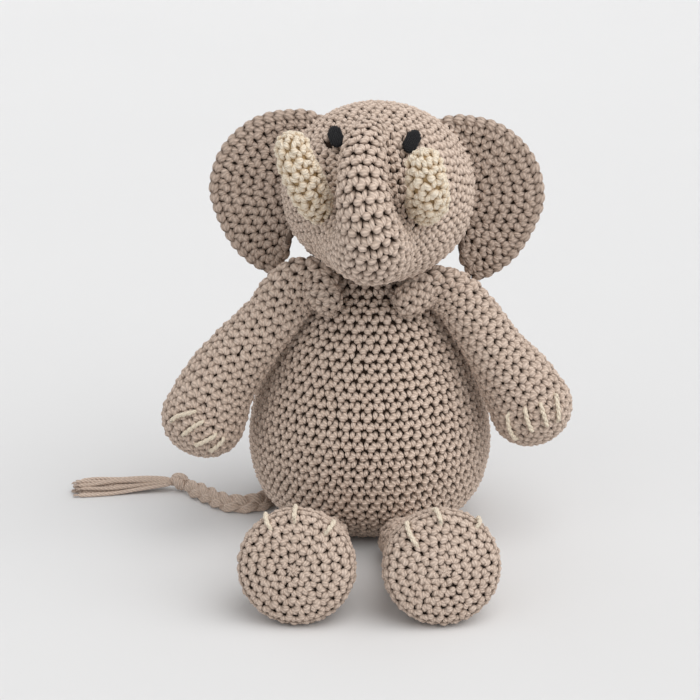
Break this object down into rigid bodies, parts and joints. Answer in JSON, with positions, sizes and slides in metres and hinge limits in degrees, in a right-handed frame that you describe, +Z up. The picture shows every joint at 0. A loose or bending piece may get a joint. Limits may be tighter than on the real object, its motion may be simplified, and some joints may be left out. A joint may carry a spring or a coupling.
{
  "type": "stuffed elephant",
  "caption": "Seated crocheted toy elephant with an upturned trunk, curved tusks, flapping ears, swinging arms and legs, and a plaited tail with a tassel.",
  "frame": {"origin": "centre of the flat seat under the body, on the surface that the toy sits on", "axes": "+Z up, -Y the way that the toy faces, +X towards the toy's own left"},
  "size_m": [0.2129, 0.18, 0.1822],
  "materials": {
    "yarn_taupe": "matte crocheted cotton yarn",
    "yarn_cream": "matte crocheted cotton yarn",
    "yarn_black": "satin-stitched cotton yarn",
    "filling": "loose polyester fibre"
  },
  "bodies": {
    "torso": {"torso_cover": "yarn_taupe", "torso_stuffing": "filling"},
    "neck": {"neck_seam": "yarn_taupe"},
    "head": {"head_cover": "yarn_taupe", "head_stuffing": "filling", "right_eye": "yarn_black", "right_tusk_cover": "yarn_cream", "right_tusk_stuffing": "filling", "right_ear_seam": "yarn_taupe", "left_eye": "yarn_black", "left_tusk_cover": "yarn_cream", "left_tusk_stuffing": "filling", "left_ear_seam": "yarn_taupe"},
    "right_ear": {"right_ear_front": "yarn_taupe", "right_ear_back": "yarn_taupe", "right_ear_edging": "yarn_taupe"},
    "left_ear": {"left_ear_front": "yarn_taupe", "left_ear_back": "yarn_taupe", "left_ear_edging": "yarn_taupe"},
    "right_arm": {"right_arm_cover": "yarn_taupe", "right_arm_stuffing": "filling", "right_arm_claw_1": "yarn_cream", "right_arm_claw_2": "yarn_cream", "right_arm_claw_3": "yarn_cream", "right_arm_claw_4": "yarn_cream"},
    "left_arm": {"left_arm_cover": "yarn_taupe", "left_arm_stuffing": "filling", "left_arm_claw_1": "yarn_cream", "left_arm_claw_2": "yarn_cream", "left_arm_claw_3": "yarn_cream", "left_arm_claw_4": "yarn_cream"},
    "right_leg": {"right_leg_cover": "yarn_taupe", "right_leg_stuffing": "filling", "right_leg_claw_1": "yarn_cream", "right_leg_claw_2": "yarn_cream", "right_leg_claw_3": "yarn_cream"},
    "left_leg": {"left_leg_cover": "yarn_taupe", "left_leg_stuffing": "filling", "left_leg_claw_1": "yarn_cream", "left_leg_claw_2": "yarn_cream", "left_leg_claw_3": "yarn_cream"},
    "tail": {"tail_braid": "yarn_taupe", "tail_knot": "yarn_taupe", "tail_tassel": "yarn_taupe"}
  },
  "joints": [
    {"name": "head_turn", "type": "hinge", "parent": "torso", "child": "neck", "pos_m": [0, 0, 0.097], "axis": [0, 0, 1], "range_deg": [-10, 10], "stiffness_Nm_per_rad": 0.02},
    {"name": "head_nod", "type": "hinge", "parent": "neck", "child": "head", "pos_m": [0, 0, 0.097], "axis": [-1, 0, 0], "range_deg": [0, 6]},
    {"name": "right_ear_flap", "type": "hinge", "parent": "head", "child": "right_ear", "pos_m": [-0.03266, 0.004, 0.14467], "axis": [0.2461, 0, 0.9693], "range_deg": [-12, 30], "stiffness_Nm_per_rad": 0.004},
    {"name": "left_ear_flap", "type": "hinge", "parent": "head", "child": "left_ear", "pos_m": [0.0383, 0.004, 0.14219], "axis": [0.178, 0, -0.984], "range_deg": [-12, 30], "stiffness_Nm_per_rad": 0.004},
    {"name": "right_arm_swing", "type": "hinge", "parent": "torso", "child": "right_arm", "pos_m": [-0.02, -0.023, 0.106], "axis": [-1, 0, 0], "range_deg": [0, 85]},
    {"name": "left_arm_swing", "type": "hinge", "parent": "torso", "child": "left_arm", "pos_m": [0.017, -0.026, 0.106], "axis": [-1, 0, 0], "range_deg": [0, 85]},
    {"name": "right_leg_swing", "type": "hinge", "parent": "torso", "child": "right_leg", "pos_m": [-0.018, -0.0505, 0.009], "axis": [-1, 0, 0], "range_deg": [-80, 35]},
    {"name": "left_leg_swing", "type": "hinge", "parent": "torso", "child": "left_leg", "pos_m": [0.0125, -0.052, 0.009], "axis": [-1, 0, 0], "range_deg": [-80, 35]},
    {"name": "tail_swing", "type": "hinge", "parent": "torso", "child": "tail", "pos_m": [-0.0097, 0.045, 0.0092], "axis": [0, 0, -1], "range_deg": [0, 60]}
  ]
}
